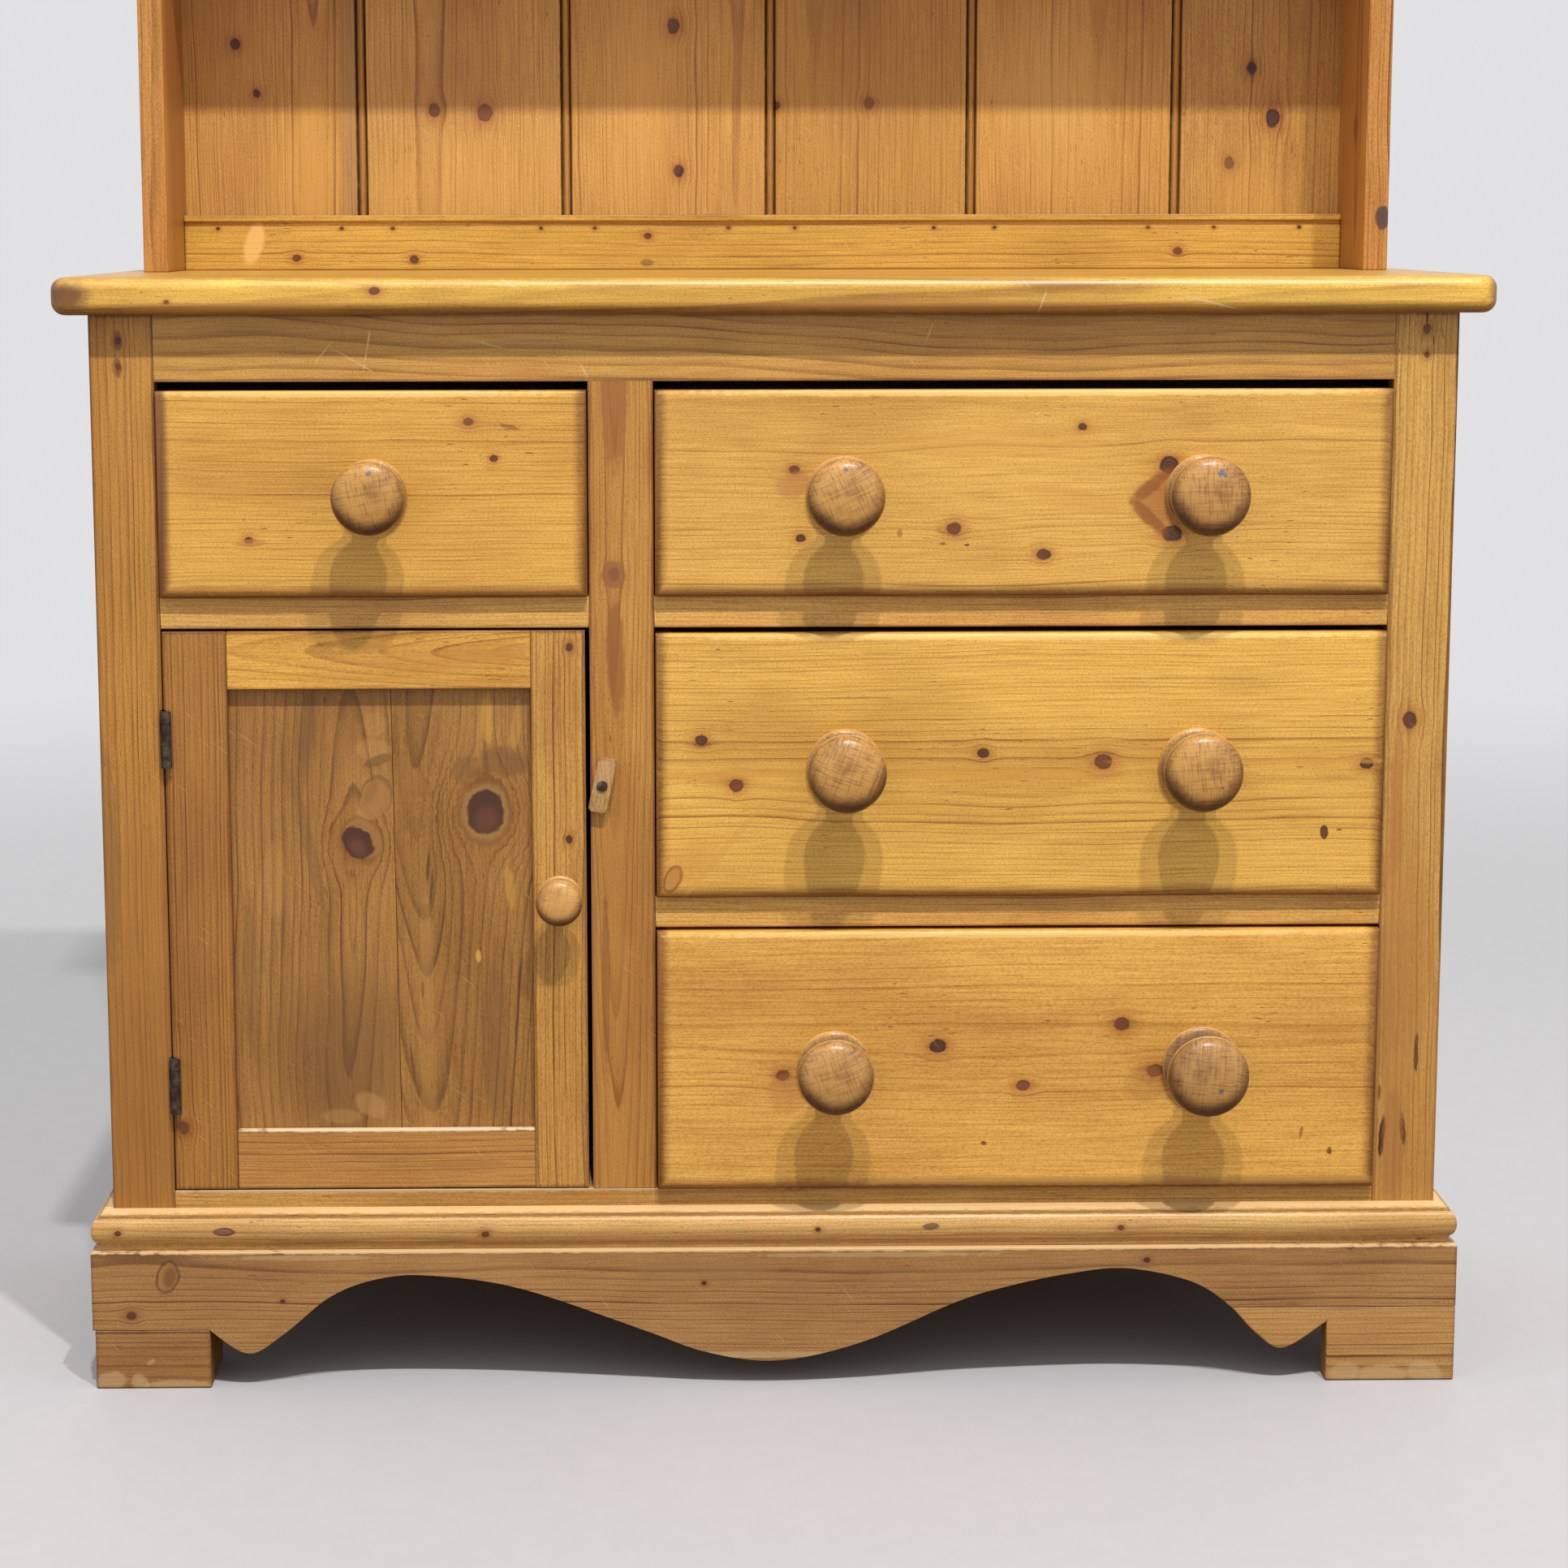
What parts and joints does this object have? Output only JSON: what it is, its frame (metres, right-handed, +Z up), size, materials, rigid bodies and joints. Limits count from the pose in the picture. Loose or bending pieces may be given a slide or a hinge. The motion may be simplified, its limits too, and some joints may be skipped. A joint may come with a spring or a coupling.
{
  "type": "welsh dresser",
  "caption": "Pine dresser: a cupboard base with drawers and a panelled door on a shaped plinth, and an open shelf rack above.",
  "frame": {"origin": "on the floor, below the middle of the whole piece", "axes": "+Z up, +X to the right as seen from the front, and the front faces -Y"},
  "size_m": [1.122, 0.4578, 1.934],
  "materials": {
    "honey_pine": "waxed",
    "amber_pine": "waxed",
    "dusty_pine": "worn wax",
    "raw_pine": "unfinished",
    "knob_pine": "waxed, turned",
    "dark_iron": "dark and pitted"
  },
  "bodies": {
    "dresser": {"left_front_stile": "amber_pine", "right_front_stile": "amber_pine", "top_front_rail": "amber_pine", "bottom_front_rail": "amber_pine", "centre_stile": "amber_pine", "turn_button_screw": "dark_iron", "left_end_panel": "amber_pine", "right_end_panel": "amber_pine", "centre_partition": "raw_pine", "base_floor": "raw_pine", "small_drawer_deck": "amber_pine", "upper_drawer_deck": "amber_pine", "lower_drawer_deck": "amber_pine", "base_back_boards": "raw_pine", "worktop": "honey_pine", "plinth_front": "dusty_pine", "right_foot_block": "dusty_pine", "left_foot_block": "dusty_pine", "plinth_left_end": "dusty_pine", "plinth_right_end": "dusty_pine", "plinth_moulding": "dusty_pine", "rack_left_side": "amber_pine", "rack_right_side": "amber_pine", "rack_lower_shelf": "amber_pine", "rack_upper_shelf": "amber_pine", "rack_top_board": "amber_pine", "rack_back_boards": "amber_pine", "rack_back_rail": "amber_pine", "rack_frieze": "amber_pine", "rack_cornice": "amber_pine", "upper_hinge_frame_leaf": "dark_iron", "lower_hinge_frame_leaf": "dark_iron"},
    "upper_drawer": {"upper_drawer_front": "honey_pine", "upper_drawer_box": "raw_pine", "upper_drawer_bottom": "raw_pine", "upper_drawer_knob_left": "knob_pine", "upper_drawer_knob_right": "knob_pine"},
    "middle_drawer": {"middle_drawer_front": "honey_pine", "middle_drawer_box": "raw_pine", "middle_drawer_bottom": "raw_pine", "middle_drawer_knob_left": "knob_pine", "middle_drawer_knob_right": "knob_pine"},
    "lower_drawer": {"lower_drawer_front": "honey_pine", "lower_drawer_box": "raw_pine", "lower_drawer_bottom": "raw_pine", "lower_drawer_knob_left": "knob_pine", "lower_drawer_knob_right": "knob_pine"},
    "small_drawer": {"small_drawer_front": "honey_pine", "small_drawer_box": "raw_pine", "small_drawer_bottom": "raw_pine", "small_drawer_knob": "knob_pine"},
    "door": {"door_hinge_stile": "amber_pine", "door_lock_stile": "amber_pine", "door_top_rail": "honey_pine", "door_bottom_rail": "honey_pine", "door_panel": "amber_pine", "door_knob": "knob_pine", "upper_hinge_door_leaf": "dark_iron", "lower_hinge_door_leaf": "dark_iron"},
    "turn_button": {"turn_button": "raw_pine"}
  },
  "joints": [
    {"name": "small_drawer_slide", "type": "slide", "parent": "dresser", "child": "small_drawer", "axis": [0, -1, 0], "range_m": [0, 0.3]},
    {"name": "upper_drawer_slide", "type": "slide", "parent": "dresser", "child": "upper_drawer", "axis": [0, -1, 0], "range_m": [0, 0.3]},
    {"name": "middle_drawer_slide", "type": "slide", "parent": "dresser", "child": "middle_drawer", "axis": [0, -1, 0], "range_m": [0, 0.3]},
    {"name": "lower_drawer_slide", "type": "slide", "parent": "dresser", "child": "lower_drawer", "axis": [0, -1, 0], "range_m": [0, 0.3]},
    {"name": "door_hinge", "type": "hinge", "parent": "dresser", "child": "door", "pos_m": [-0.4812, -0.1675, 0.3875], "axis": [0, 0, -1], "range_deg": [0, 180]},
    {"name": "turn_button_pivot", "type": "hinge", "parent": "dresser", "child": "turn_button", "pos_m": [-0.1375, -0.168, 0.4905], "axis": [0, 1, 0], "continuous": true}
  ]
}
